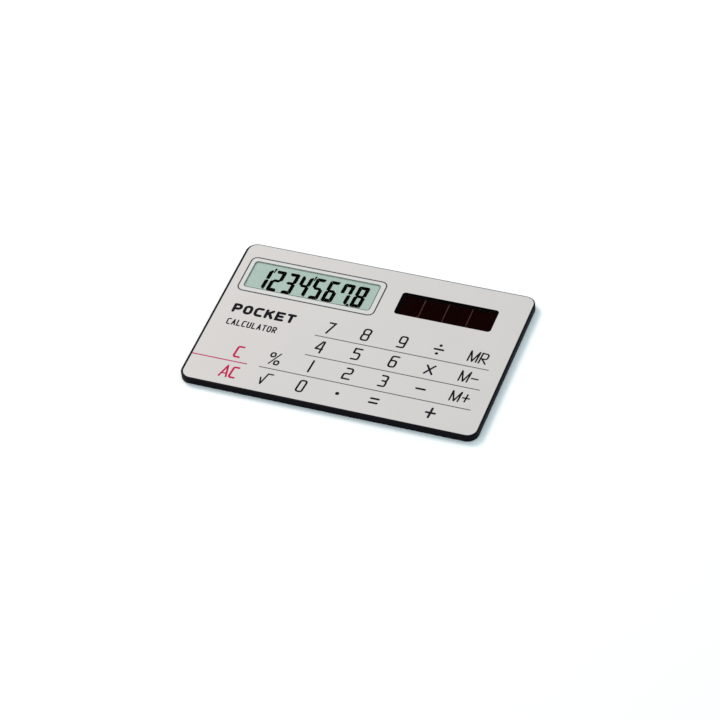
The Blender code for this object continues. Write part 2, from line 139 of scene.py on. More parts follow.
def seen_at(x, y, level):
    """The place at this level that the camera sees through the face at (x, y)."""
    fx, fy = on_face(x, y)
    cx, cy, cz = (v / MM for v in CAMERA_AT)
    share = (BODY_TOP - level) / (cz - BODY_TOP)
    return fx + (fx - cx) * share, fy + (fy - cy) * share


# ---------------------------------------------------------------- meshes

def linked(name, data):
    """A new object in the scene, with this data."""
    made = bpy.data.objects.new(name, data)
    bpy.context.scene.collection.objects.link(made)
    return made


def meshed(name, bm, scale=None):
    """The bmesh as an object in the scene, its faces turned outwards. The bmesh is used up."""
    bmesh.ops.recalc_face_normals(bm, faces=bm.faces)
    if scale:
        bm.transform(Matrix.Scale(scale, 4))
    mesh = bpy.data.meshes.new(name)
    bm.to_mesh(mesh)
    bm.free()
    return linked(name, mesh)


def place(name, bm, material, body, smooth=35):
    """The finished piece: scaled to metres, shaded, given its material and, if it has one, body."""
    made = meshed(name, bm, MM)
    made.data.shade_smooth()
    made.data.set_sharp_from_angle(angle=math.radians(smooth))
    made.data.materials.append(material)
    if body:
        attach(made, body)
    return made


def loop_at(bm, outline, z):
    return [bm.verts.new((x, y, z)) for x, y in outline]


def wall(bm, lower, upper):
    """Faces between two loops of equal point counts."""
    for i in range(len(lower)):
        j = (i + 1) % len(lower)
        bm.faces.new((lower[i], lower[j], upper[j], upper[i]))


def fill(bm, loops):
    """Flat faces between the first loop and the holes inside it."""
    edges = []
    for loop in loops:
        for a, b in zip(loop, loop[1:] + loop[:1]):
            edges.append(bm.edges.get((a, b)) or bm.edges.new((a, b)))
    bmesh.ops.triangle_fill(bm, use_beauty=True, edges=edges)


def loft(bm, rings):
    """A closed solid through (outline, height) rings of equal point counts."""
    loops = [loop_at(bm, outline, z) for outline, z in rings]
    for lower, upper in zip(loops, loops[1:]):
        wall(bm, lower, upper)
    bm.faces.new(reversed(loops[0]))
    bm.faces.new(loops[-1])


def plate(bm, spec, holes, bottom, top, bevel=0.0, steps=16):
    """A flat plate with a bevelled outer edge and straight-walled holes."""
    levels = [(0.0, bottom), (0.0, top - bevel), (bevel, top)] if bevel else [(0.0, bottom), (0.0, top)]
    edge = [loop_at(bm, ring(spec, inset, steps), z) for inset, z in levels]
    for lower, upper in zip(edge, edge[1:]):
        wall(bm, lower, upper)
    below = [loop_at(bm, hole, bottom) for hole in holes]
    above = [loop_at(bm, hole, top) for hole in holes]
    for lower, upper in zip(below, above):
        wall(bm, lower, upper)
    fill(bm, [edge[0], *below])
    fill(bm, [edge[-1], *above])


def combined(solids, operation):
    """The first of these closed meshes with the others joined to it or cut from it."""
    objects = [meshed(f"solid_{number}", bm) for number, bm in enumerate(solids)]
    for item in objects[1:]:
        modifier = objects[0].modifiers.new("join", "BOOLEAN")
        modifier.operation = operation
        modifier.solver = "EXACT"
        modifier.object = item
    depsgraph = bpy.context.evaluated_depsgraph_get()
    result = bpy.data.meshes.new_from_object(objects[0].evaluated_get(depsgraph))
    bm = bmesh.new()
    bm.from_mesh(result)
    bpy.data.meshes.remove(result)
    for item in objects:
        bpy.data.meshes.remove(item.data)  # the object goes with it
    return bm


# ---------------------------------------------------------------- printed strokes

LEGEND = 0.56  # the key signs' usual line width
STRAIGHT = 0.02  # a corner stays a point where half its turn is less than this, in radians
SHARED, WHOLE = 0.5, 0.9  # the most of a side an arc takes, with and without an arc at the side's other end
ARC_STEPS = 5
END_STEPS = 6
MITRE = 0.4  # limits how far a sharp corner's outside reaches


def rotated(vector, turn):
    """The vector turned anticlockwise."""
    c, s = math.cos(turn), math.sin(turn)
    return Vector((c * vector.x - s * vector.y, s * vector.x + c * vector.y))


def turned(points, radius, closed=False):
    """The path with each corner made an arc of this radius, or less where its sides are short."""
    count = len(points)
    path = []
    for i, corner in enumerate(points):
        if not closed and i in (0, count - 1):
            path.append(Vector(corner))
            continue
        here = Vector(corner)
        back = Vector(points[i - 1]) - here
        ahead = Vector(points[(i + 1) % count]) - here
        reach_back = back.length * (SHARED if closed or i > 1 else WHOLE)
        reach_ahead = ahead.length * (SHARED if closed or i < count - 2 else WHOLE)
        back.normalize()
        ahead.normalize()
        half = back.angle(ahead) / 2
        if math.pi / 2 - half < STRAIGHT:
            path.append(here)
            continue
        length = min(radius / math.tan(half), reach_back, reach_ahead)
        centre = here + (back + ahead).normalized() * (length / math.cos(half))
        first = here + back * length - centre
        last = here + ahead * length - centre
        sweep = first.angle_signed(last)
        for step in range(ARC_STEPS + 1):
            path.append(centre + rotated(first, -sweep * step / ARC_STEPS))
    return path


def stroke(points, width, radius=0.0, closed=False, round_ends=True):
    """One closed mesh, 1 mm high, along a path on the face."""
    path = [Vector(on_face(*p)) for p in points]
    if radius > width / 2:
        path = turned(path, radius, closed)
    count = len(path)
    lefts, rights = [], []
    for i, here in enumerate(path):
        before = path[i - 1] if closed or i else None
        after = path[(i + 1) % count] if closed or i < count - 1 else None
        into = (here - before).normalized() if before is not None else (after - here).normalized()
        out = (after - here).normalized() if after is not None else into
        side_in, side_out = Vector((-into.y, into.x)), Vector((-out.y, out.x))
        side = (side_in + side_out).normalized()
        side *= width / 2 / max(side.dot(side_out), MITRE)
        lefts.append(here + side)
        rights.append(here - side)
    bm = bmesh.new()
    if closed:
        outer = [loop_at(bm, lefts, z) for z in (0.0, 1.0)]
        inner = [loop_at(bm, rights, z) for z in (0.0, 1.0)]
        for loops in (outer, inner):
            wall(bm, *loops)
        for a, b in zip(outer, inner):
            wall(bm, a, b)
        return bm
    outline = list(lefts)
    for end, first, last in ((path[-1], lefts[-1], rights[-1]), (path[0], rights[0], lefts[0])):
        spoke = first - end
        if round_ends:
            for step in range(1, END_STEPS):
                outline.append(end + rotated(spoke, -math.pi * step / END_STEPS))
        if end == path[-1]:
            outline += reversed(rights)
    loft(bm, [(outline, 0.0), (outline, 1.0)])
    return bm


def dot(x, y, radius):
    """One closed mesh, 1 mm high, round a place on the face."""
    bm = bmesh.new()
    outline = circle(radius, *on_face(x, y), 24)
    loft(bm, [(outline, 0.0), (outline, 1.0)])
    return bm


def ink(name, strokes, material, body):
    """The strokes joined into one layer printed on the film."""
    bm = combined(strokes, "UNION") if len(strokes) > 1 else strokes[0]
    for vert in bm.verts:
        vert.co.z = FILM_TOP + vert.co.z * (INK_TOP - FILM_TOP)
    place(name, bm, material, body)


def legends():
    """The strokes of each key's sign."""
    def line(*points, radius=0.0, closed=False, width=LEGEND):
        return stroke(points, width, radius, closed)

    thin, heavy, red = 0.47, 0.65, 0.62

    def letter_m(top, foot):
        return [
            line((73.97, top), (73.8, foot), width=thin),
            line((74.0, top), (75.02, foot), width=thin),
            line((75.02, foot), (76.38, top), width=thin),
            line((76.42, top), (76.14, foot), width=thin),
        ]

    return {
        "7": [line((32.95, 23.5), (34.58, 23.5), (33.1, 27.45), radius=0.12)],
        "8": [
            line((43.2, 23.17), (45.12, 23.17), (45.02, 25.14), (43.1, 25.14), radius=0.62, closed=True),
            line((43.06, 25.14), (45.0, 25.14), (44.86, 27.28), (42.92, 27.28), radius=0.62, closed=True),
        ],
        "9": [
            line((53.8, 23.17), (55.66, 23.17), (55.52, 25.64), (53.68, 25.64), radius=0.62, closed=True),
            line((55.62, 24.2), (55.4, 27.2), (53.55, 27.2), radius=0.5),
        ],
        "divide": [
            line((63.88, 25.2), (66.3, 25.2), width=heavy),
            dot(65.19, 23.66, 0.46),
            dot(64.92, 26.78, 0.46),
        ],
        "memory_recall": [
            *letter_m(23.3, 27.05),
            line((77.22, 23.3), (76.98, 27.15), width=thin),
            line((77.22, 23.42), (79.0, 23.42), (78.88, 25.42), (77.1, 25.42), radius=0.6, width=thin),
            line((77.5, 25.42), (78.85, 27.12), width=thin),
        ],
        "4": [
            line((33.68, 30.85), (32.3, 33.68)),
            line((32.3, 33.68), (34.25, 33.68)),
            line((34.18, 30.85), (33.93, 35.05)),
        ],
        "5": [
            line((45.08, 30.82), (43.2, 30.82), (43.08, 32.45)),
            line((43.08, 32.45), (44.98, 32.45), (44.88, 34.76), (43.0, 34.76), radius=0.62),
        ],
        "6": [
            line((55.78, 30.84), (53.92, 30.84), (53.7, 33.5), radius=0.55),
            line((53.78, 32.44), (55.58, 32.44), (55.46, 34.78), (53.62, 34.78), radius=0.62, closed=True),
        ],
        "multiply": [line((64.1, 31.57), (66.2, 34.58)), line((66.3, 31.37), (64.02, 34.58))],
        "memory_minus": [*letter_m(31.0, 34.7), line((77.15, 33.1), (78.9, 33.1), width=thin)],
        "clear": [
            line((13.4, 38.62), (11.84, 38.62), (11.56, 42.48), (13.24, 42.48), radius=0.55, width=red),
        ],
        "percent": [
            line(
                (21.58, 38.35), (22.8, 38.35), (22.7, 39.82), (21.5, 39.82),
                radius=0.5, closed=True, width=0.5,
            ),
            line(
                (23.38, 41.02), (24.6, 41.02), (24.5, 42.46), (23.3, 42.46),
                radius=0.5, closed=True, width=0.5,
            ),
            line((24.18, 38.26), (21.92, 42.5), width=0.4),
        ],
        "1": [line((33.75, 38.3), (33.46, 42.5))],
        "2": [
            line((43.55, 38.42), (45.36, 38.42), (45.24, 40.36), (43.26, 40.36), (43.14, 42.28), radius=0.6),
            line((43.14, 42.28), (45.2, 42.28)),
        ],
        "3": [
            line((53.76, 38.42), (55.46, 38.42), (55.38, 40.3), (54.2, 40.3), radius=0.55),
            line((54.2, 40.3), (55.42, 40.3), (55.32, 42.25), (53.56, 42.25), radius=0.55),
        ],
        "minus": [line((63.94, 40.42), (66.38, 40.42), width=heavy)],
        "memory_plus": [
            *letter_m(38.62, 42.15),
            line((77.15, 40.43), (78.95, 40.43), width=thin),
            line((78.14, 39.1), (77.96, 41.75), width=thin),
        ],
        "all_clear": [
            line((11.66, 46.15), (10.4, 50.25), width=0.54),
            line((11.66, 46.15), (12.46, 50.22), width=0.54),
            line((10.9, 49.05), (12.2, 49.05), width=0.45),
            line((14.96, 46.28), (13.5, 46.28), (13.22, 50.08), (14.74, 50.08), radius=0.5, width=red),
        ],
        "square_root": [
            line((21.86, 47.9), (22.4, 50.16), width=thin),
            line((22.4, 50.16), (23.5, 46.2), (24.92, 46.2), width=thin),
        ],
        "0": [
            line((33.0, 45.98), (34.75, 45.98), (34.35, 50.04), (32.58, 50.04), radius=0.6, closed=True),
        ],
        "decimal_point": [dot(44.05, 47.98, 0.58)],
        "equals": [
            line((53.48, 47.13), (55.64, 47.13), width=heavy),
            line((53.38, 48.65), (55.54, 48.65), width=heavy),
        ],
        "plus": [
            line((69.34, 47.96), (71.84, 47.96), width=heavy),
            line((70.68, 46.28), (70.45, 49.66), width=heavy),
        ],
    }


# Letters in a box 1 wide and 1 high, y down: (points, share of the corner radius, closed)
LETTERS = {
    "P": [(((0, 1), (0, 0)), 0, False), (((0, 0), (1, 0), (1, 0.58), (0, 0.58)), 0.85, False)],
    "O": [(((0, 0), (1, 0), (1, 1), (0, 1)), 1, True)],
    "C": [(((1, 0), (0, 0), (0, 1), (1, 1)), 1, False)],
    "K": [
        (((0, 0), (0, 1)), 0, False),
        (((0.95, 0), (0.02, 0.6)), 0, False),
        (((0.42, 0.36), (1, 1)), 0, False),
    ],
    "E": [(((1, 0), (0, 0), (0, 1), (1, 1)), 0.15, False), (((0, 0.5), (0.85, 0.5)), 0, False)],
    "T": [(((0, 0), (1, 0)), 0, False), (((0.5, 0), (0.5, 1)), 0, False)],
    "A": [
        (((0, 1), (0.5, 0)), 0, False),
        (((0.5, 0), (1, 1)), 0, False),
        (((0.2, 0.68), (0.8, 0.68)), 0, False),
    ],
    "L": [(((0, 0), (0, 1), (1, 1)), 0.15, False)],
    "U": [(((0, 0), (0, 1), (1, 1), (1, 0)), 1, False)],
    "R": [
        (((0, 1), (0, 0)), 0, False),
        (((0, 0), (1, 0), (1, 0.55), (0, 0.55)), 1, False),
        (((0.4, 0.55), (1, 1)), 0, False),
    ],
}


def word(text, left, top, width, height, pitch, line_width, radius):
    """The strokes of a word in capitals, each letter this wide and high and one pitch after the last."""
    strokes = []
    for number, letter in enumerate(text):
        start = left + number * pitch
        for points, share, closed in LETTERS[letter]:
            path = [(start + x * width, top + y * height) for x, y in points]
            strokes.append(stroke(path, line_width, radius * share, closed))
    return strokes


# ---------------------------------------------------------------- display digits

SEGMENTS = {
    "1": "bc", "2": "abged", "3": "abgcd", "4": "fgbc", "5": "afgcd", "6": "afgedc",
    "7": "fabc", "8": "abcdefg",
}
DIGIT_WIDTH = 3.3
DIGIT_ABOVE, DIGIT_BELOW = 4.03, 4.17  # from the middle line to the digit's top and to its foot
UPRIGHT, BAR, MIDDLE = 1.1, 1.2, 0.5  # widths of the uprights and end bars, half the middle bar's
DIGIT_RIGHTS = (10.25, 14.14, 18.17, 22.28, 26.32, 30.46, 34.68, 38.93)
DIGIT_LINE, DIGIT_CLIMB = 12.08, 0.025  # the middle line's place, and its climb from digit to digit
DIGIT_SLANT = math.tan(math.radians(2.7))
DIGIT_FOOT, DIGIT_TOP = 1.922, 1.94
APOSTROPHE = ((0.02, 7.58), (0.62, 7.5), (0.32, 9.3), (0.0, 9.3))
APOSTROPHE_LEFTS = (10.54, 22.56)
DECIMAL_POINT = ((34.68, 15.3), (35.1, 15.3), (35.5, 16.16), (34.42, 16.16))


def bar_end(height, free):
    """The right end of an end bar: cut at a slant where it meets an upright, blunt where it is free."""
    w, h = DIGIT_WIDTH, height
    if free:
        return [(w - 0.87, h - BAR), (w - 0.53, h - 0.62 * BAR), (w - 0.43, h - 0.3), (w - 0.57, h - 0.02)]
    return [(w - UPRIGHT - 0.02, h - BAR), (w - 0.21, h - 0.18), (w - 0.42, h - 0.05), (w - 0.68, h)]


def end_bar(height, left_free, right_free):
    """The top or bottom bar."""
    left = [(DIGIT_WIDTH - x, y) for x, y in reversed(bar_end(height, left_free))]
    return bar_end(height, right_free) + left


def upright(height, free):
    """The right upright of one half: its inner end is a blunt point, and so is a free outer end."""
    w, h, t = DIGIT_WIDTH, height, UPRIGHT
    outer = [(w, h - 0.66), (w - 0.06, h - 0.4), (w - 0.19, h - 0.2), (w - t, h - BAR - 0.02)]
    if free:
        outer = [(w, h - 0.6), (w - 0.16, h - 0.34), (w - 0.42, h - 0.26), (w - t, h - 0.98)]
    inner = [(w - t, 0.42), (w - 0.5 * t - 0.18, 0.1), (w - 0.5 * t + 0.18, 0.1), (w, 0.42)]
    return inner + outer


def middle_bar():
    """The middle bar, pointed at both ends."""
    w, t, m = DIGIT_WIDTH, UPRIGHT, MIDDLE
    inside, point = w - t + 0.1, w - 0.5 * t - 0.04
    half = [(inside, -m), (point, -0.12), (point, 0.12), (inside, m)]
    return half + [(w - x, y) for x, y in reversed(half)]


def digit_shapes(lit):
    """The lit segments as points in the digit's box, x right from its left and y up from its middle."""
    shapes = []
    for half, sign, height in (("fab", 1, DIGIT_ABOVE), ("edc", -1, DIGIT_BELOW)):
        left, across, right = (key in lit for key in half)
        made = []
        if across:
            made.append(end_bar(height, not left, not right))
        if right:
            made.append(upright(height, not across))
        if left:
            made.append([(DIGIT_WIDTH - x, y) for x, y in upright(height, not across)])
        shapes += [[(x, sign * y) for x, y in points] for points in made]
    if "g" in lit:
        shapes.append(middle_bar())
    return shapes


def seen_prism(bm, points, level, bottom, top):
    """A flat solid under a window. Its points are where the camera sees them on the face."""
    outline = [seen_at(x, y, level) for x, y in points]
    loft(bm, [(outline, bottom), (outline, top)])


def make_digits():
    """Every dark segment on the display."""
    bm = bmesh.new()

    def add(points):
        seen_prism(bm, points, DIGIT_TOP, DIGIT_FOOT, DIGIT_TOP)

    for number, digit in enumerate("12345678"):
        left = DIGIT_RIGHTS[number] - DIGIT_WIDTH
        line = DIGIT_LINE - number * DIGIT_CLIMB
        for points in digit_shapes(SEGMENTS[digit]):
            add([(left + x + y * DIGIT_SLANT, line - y) for x, y in points])
    for left in APOSTROPHE_LEFTS:
        add([(left + x, y) for x, y in APOSTROPHE])
    add(DECIMAL_POINT)
    place("lcd_digits", bm, DIGITS, "case")


# ---------------------------------------------------------------- materials

NOISE_RANGE = (0.3, 0.7)  # where nearly all of a noise texture's values lie


def new_material(name):
    """A material with no nodes yet but its output."""
    material = bpy.data.materials.new(name)
    material.use_nodes = True
    tree = material.node_tree
    tree.nodes.clear()
    return material, tree, tree.nodes.new("ShaderNodeOutputMaterial")


def noise(tree, feature, detail=2.0):
    """Noise in the piece's own coordinates, its features this many millimetres across."""
    where = tree.nodes.new("ShaderNodeTexCoord")
    made = tree.nodes.new("ShaderNodeTexNoise")
    made.inputs["Scale"].default_value = 1 / (feature * MM)
    made.inputs["Detail"].default_value = detail
    tree.links.new(where.outputs["Object"], made.inputs["Vector"])
    return made.outputs["Fac"]


def mapped(tree, socket, low, high):
    """Noise stretched to run from low to high."""
    made = tree.nodes.new("ShaderNodeMapRange")
    made.inputs["From Min"].default_value, made.inputs["From Max"].default_value = NOISE_RANGE
    made.inputs["To Min"].default_value = low
    made.inputs["To Max"].default_value = high
    tree.links.new(socket, made.inputs["Value"])
    return made.outputs["Result"]


def varied(tree, colour, spread, feature, broad):
    """The colour, lighter and darker by this share over fine and broad noise."""
    mean = tree.nodes.new("ShaderNodeMath")
    mean.operation = "ADD"
    tree.links.new(noise(tree, feature), mean.inputs[0])
    tree.links.new(noise(tree, broad, 1.0), mean.inputs[1])
    half = tree.nodes.new("ShaderNodeMath")
    half.operation = "MULTIPLY"
    half.inputs[1].default_value = 0.5
    tree.links.new(mean.outputs[0], half.inputs[0])
    blend = tree.nodes.new("ShaderNodeMix")
    blend.data_type = "RGBA"
    blend.inputs["A"].default_value = (*(c * (1 - spread) for c in colour), 1.0)
    blend.inputs["B"].default_value = (*(min(c * (1 + spread), 1.0) for c in colour), 1.0)
    tree.links.new(mapped(tree, half.outputs[0], 0.0, 1.0), blend.inputs["Factor"])
    return blend.outputs["Result"]


def finish_material(name, colour, roughness, spread=0.05, feature=0.3, broad=6.0, specular=0.5,
                    metallic=0.0, bump=0.0, bump_feature=0.12):
    """An opaque finish whose colour varies by the share spread, and its roughness a little.

    The noise behind them has features of two sizes, feature and broad. A bump is this deep and this wide.
    """
    material, tree, out = new_material(name)
    shader = tree.nodes.new("ShaderNodeBsdfPrincipled")
    tree.links.new(varied(tree, colour, spread, feature, broad), shader.inputs["Base Color"])
    rough = mapped(tree, noise(tree, feature * 1.7), roughness * 0.93, min(roughness * 1.07, 1.0))
    tree.links.new(rough, shader.inputs["Roughness"])
    shader.inputs["Metallic"].default_value = metallic
    shader.inputs["Specular IOR Level"].default_value = specular
    if bump:
        bumps = tree.nodes.new("ShaderNodeBump")
        bumps.inputs["Strength"].default_value = 1.0
        bumps.inputs["Distance"].default_value = bump * MM
        tree.links.new(noise(tree, bump_feature, 3.0), bumps.inputs["Height"])
        tree.links.new(bumps.outputs["Normal"], shader.inputs["Normal"])
    tree.links.new(shader.outputs["BSDF"], out.inputs["Surface"])
    return material


def ink_material(name, colour, spread, specular):
    """A printed ink, its noise finer than a key's sign."""
    return finish_material(name, colour, 0.5, spread, 0.2, 3.0, specular)


def clear_material(name, tint, glossy):
    """One face of a clear sheet: it lets everything behind it through, and may add a faint reflection."""
    material, tree, out = new_material(name)
    through = tree.nodes.new("ShaderNodeBsdfTransparent")
    tree.links.new(varied(tree, tint, 0.006, 0.5, 9.0), through.inputs["Color"])
    if not glossy:
        tree.links.new(through.outputs[0], out.inputs["Surface"])
        return material
    gloss = tree.nodes.new("ShaderNodeBsdfGlossy")
    gloss.inputs["Color"].default_value = (0.6, 0.6, 0.6, 1.0)
    gloss.inputs["Roughness"].default_value = 0.04
    fresnel = tree.nodes.new("ShaderNodeFresnel")
    fresnel.inputs["IOR"].default_value = 1.035
    both = tree.nodes.new("ShaderNodeMixShader")
    tree.links.new(fresnel.outputs[0], both.inputs[0])
    tree.links.new(through.outputs[0], both.inputs[1])
    tree.links.new(gloss.outputs[0], both.inputs[2])
    tree.links.new(both.outputs[0], out.inputs["Surface"])
    return material


# name, colour, roughness, spread, feature, broad, specular
SILVER = finish_material("silver_film", (0.544, 0.503, 0.484), 0.5, 0.018, 0.16, 11.0, 0.3)
MARGIN = finish_material("display_margin_film", (0.548, 0.531, 0.515), 0.5, 0.014, 0.16, 9.0, 0.3)
FRAME = finish_material(
    "black_plastic", (0.0014, 0.0009, 0.0032), 0.5, 0.2, 0.25, 7.0, 0.052, bump=0.004, bump_feature=0.2,
)
REAR = finish_material(
    "rear_plastic", (0.011, 0.0105, 0.0135), 0.62, 0.22, 0.3, 8.0, 0.3, bump=0.012, bump_feature=0.22,
)
LCD = finish_material("lcd_green", (0.350, 0.443, 0.389), 0.4, 0.02, 0.2, 7.0, 0.25)
DIGITS = finish_material("lcd_segments", (0.0006, 0.0006, 0.0007), 0.5, 0.15, 0.2, 4.0, 0.004)
# Near-black solar glass: where the cells leave it bare it shows as a painted shadow of the window's far and
# left edges.
CELL_GLASS = finish_material("solar_glass", (0.0016, 0.0009, 0.0009), 0.35, 0.15, 0.4, 5.0, 0.006)
CELL = finish_material("solar_silicon", (0.0050, 0.0005, 0.0003), 0.4, 0.2, 0.3, 4.0, 0.004)
CELL_LINE = finish_material("solar_line", (0.078, 0.032, 0.024), 0.5, 0.25, 0.2, 2.0, 0.04)

# name, colour, spread, specular
INK = ink_material("dark_ink", (0.0035, 0.0022, 0.0055), 0.12, 0.04)
RULE = ink_material("grey_ink", (0.085, 0.08, 0.08), 0.1, 0.15)
RED = ink_material("red_ink", (0.45, 0.0015, 0.062), 0.08, 0.05)
RED_RULE = ink_material("red_rule_ink", (0.45, 0.02, 0.12), 0.08, 0.12)
OUTLINE_INK = ink_material("outline_ink", (0.026, 0.023, 0.026), 0.1, 0.2)
EDGE_INK = ink_material("edge_ink", (0.062, 0.065, 0.065), 0.1, 0.15)

WINDOW = clear_material("clear_window", (0.985, 0.99, 0.988), True)
WINDOW_BACK = clear_material("clear_window_back", (0.997, 0.998, 0.997), False)

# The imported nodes' materials
INSIDE = {
    "rear_adhesive": finish_material("adhesive", (0.55, 0.54, 0.48), 0.6, 0.06),
    "display_window": WINDOW,
    "solar_window": WINDOW,
    "lcd_front_polarizer": LCD,
    "lcd_front_glass": finish_material("lcd_glass", (0.50, 0.58, 0.55), 0.12, 0.03),
    "lcd_reflector": finish_material("reflector_foil", (0.62, 0.65, 0.60), 0.35, 0.06, 0.15, metallic=0.6),
    "lcd_foam_pad": finish_material(
        "grey_foam", (0.08, 0.08, 0.085), 0.95, 0.4, 0.25, 3.0, 0.2, bump=0.05, bump_feature=0.25,
    ),
    "lcd_heat_seal_connector": finish_material("amber_film", (0.42, 0.20, 0.04), 0.4, 0.1),
    "solar_glass": CELL_GLASS,
    "solar_cell_layer": CELL,
    "solar_lead_positive": finish_material("tinned_copper", (0.60, 0.58, 0.55), 0.3, 0.08, 0.2, metallic=1.0),
    "circuit_board": finish_material(
        "board_green", (0.03, 0.16, 0.07), 0.5, 0.15, 0.4, 5.0, bump=0.01, bump_feature=0.3,
    ),
    "key_spacer_sheet": finish_material("white_film", (0.72, 0.73, 0.74), 0.5, 0.03),
    "calculator_chip": finish_material(
        "chip_resin", (0.010, 0.010, 0.010), 0.3, 0.3, 0.3, 3.0, bump=0.02, bump_feature=0.6,
    ),
    "capacitor_1": finish_material("capacitor_ceramic", (0.35, 0.24, 0.14), 0.45, 0.12),
    "voltage_clamp_diode": finish_material("diode_resin", (0.02, 0.02, 0.022), 0.4, 0.2),
    "resistor_1": finish_material("resistor_ceramic", (0.03, 0.035, 0.05), 0.5, 0.2),
}
INSIDE["face_adhesive"] = INSIDE["rear_adhesive"]
INSIDE["lcd_rear_glass"] = INSIDE["lcd_front_glass"]
INSIDE["solar_lead_negative"] = INSIDE["solar_lead_positive"]
INSIDE["capacitor_2"] = INSIDE["capacitor_1"]


def dress_nodes():
    """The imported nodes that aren't replaced keep their shape and take these materials."""
    for name, material in INSIDE.items():
        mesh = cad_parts[name].data
        mesh.materials.clear()
        mesh.materials.append(material)
        for polygon in mesh.polygons:
            polygon.material_index = 0
    for name in ("display_window", "solar_window"):
        # Only the faces that look up reflect. The others would mirror the inside at low angles.
        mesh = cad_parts[name].data
        mesh.materials.append(WINDOW_BACK)
        for polygon in mesh.polygons:
            polygon.material_index = 0 if polygon.normal.z > 0.5 else 1


# ---------------------------------------------------------------- body

ABOVE, BELOW = 3.2, -1.0  # levels clear of the body, for cuts that go right through a face
BAYS = (  # the CAD frame's
    # left, right, near, far, corner radius, underside, top
    (-40.7, 40.7, -25.35, 6.95, 1.0, 1.13, ABOVE),
    (-39.4, 39.4, -24.05, 5.65, 1.0, 0.175, 1.46),
    (-39.4, 0.4, 7.65, 21.75, 0.3, 0.175, ABOVE),
    (-33.7, -5.3, 6.3, 8.5, 0.2, 1.21, ABOVE),
    (4.88, 35.28, 9.97, 20.77, 0.3, 0.67, ABOVE),
    (6.58, 33.58, 11.67, 19.07, 0.3, 0.175, 1.46),
    (7.68, 9.48, 5.0, 13.52, 0.2, 0.145, 0.72),
    (30.68, 32.48, 5.0, 13.52, 0.2, 0.145, 0.72),
)


FINE_STEPS = 24  # to each corner of the body's and the film's outlines
BAY_STEPS = 4
FOOT_ROUNDING, FOOT_STEPS = 0.35, 8
RIM_ROUNDING, RIM_STEPS = 0.05, 4
FILM_GAP = 0.05  # between the film's edge and its recess
REAR_GAP = 0.1  # between the rear cover's edge and its recess
REAR_RECESS_TOP = 0.35


def body_ring(inset):
    return ring(BODY, inset, FINE_STEPS)


def prism(outline, bottom, top):
    """A new mesh: this outline between two levels."""
    bm = bmesh.new()
    loft(bm, [(outline, bottom), (outline, top)])
    return bm


def make_frame():
    """The moulded frame: the CAD node's recesses and bays in a shell with finely rounded outer edges."""
    rings = []
    for step in range(FOOT_STEPS + 1):
        turn = math.radians(90 * step / FOOT_STEPS)
        rings.append((body_ring(FOOT_ROUNDING * (1 - math.sin(turn))), FOOT_ROUNDING * (1 - math.cos(turn))))
    for step in range(RIM_STEPS + 1):
        turn = math.radians(90 * step / RIM_STEPS)
        inset, drop = RIM_ROUNDING * (1 - math.cos(turn)), RIM_ROUNDING * (1 - math.sin(turn))
        rings.append((body_ring(inset), RIM_TOP - drop))
    outer = bmesh.new()
    loft(outer, rings)
    cutters = [
        prism(ring(film_spec(FILM_GAP), 0.0, FINE_STEPS), DECK, ABOVE),
        prism(body_ring(REAR_INSET - REAR_GAP), BELOW, REAR_RECESS_TOP),
    ]
    for left, right, near, far, radius, bottom, top in BAYS:
        spec = (right - left, far - near, radius, (left + right) / 2, (near + far) / 2)
        cutters.append(prism(ring(spec, 0.0, BAY_STEPS), bottom, top))
    cut = combined([outer, *cutters], "DIFFERENCE")
    shell = place("frame_moulding", cut, FRAME, "case", 30)
    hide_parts("frame")


def make_rear():
    """The rear cover with softened edges and a shallow blank panel."""
    top, bevel = 0.24, 0.05
    panel, panel_depth, panel_slope, panel_steps = (58.0, 30.0, 2.0), 0.1, 0.06, 12
    bm = bmesh.new()
    levels = ((bevel, 0.0), (0.0, bevel), (0.0, top))
    loops = [loop_at(bm, body_ring(REAR_INSET + more), z) for more, z in levels]
    for lower, upper in zip(loops, loops[1:]):
        wall(bm, lower, upper)
    bm.faces.new(loops[-1])
    lip = loop_at(bm, ring(panel, 0.0, panel_steps), 0.0)
    floor = loop_at(bm, ring(panel, panel_slope, panel_steps), panel_depth)
    wall(bm, lip, floor)
    bm.faces.new(floor)
    fill(bm, [loops[0], lip])
    cover = place("rear_cover_panel", bm, REAR, "case", 30)
    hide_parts("rear_cover")


# ---------------------------------------------------------------- face

def key_places():
    """Every key: centre, half size of its moving pad, half size of its flexing border."""
    found = {}
    for name, (column, row) in KEYS.items():
        found[name] = (COLUMNS[column], ROWS[row], *PAD_HALF, *FLEX_HALF)
    found["plus"] = (
        (COLUMNS[5] + COLUMNS[6]) / 2, ROWS[3],
        PAD_HALF[0] + PLUS_EXTRA, PAD_HALF[1], FLEX_HALF[0] + PLUS_EXTRA, FLEX_HALF[1],
    )
    return found


def make_film():
    """The silver film, one sheet with openings for the windows and for the keys' own areas."""
    bevel = 0.03
    holes = [ring(DISPLAY), ring(SOLAR)]
    for x, y, _, _, across, along in key_places().values():
        holes.append(rectangle(x - across, x + across, y - along, y + along))
    bm = bmesh.new()
    plate(bm, film_spec(), holes, FILM_BOTTOM, FILM_TOP, bevel, FINE_STEPS)
    film = place("face_film", bm, SILVER, "case")
    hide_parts("front_sheet")


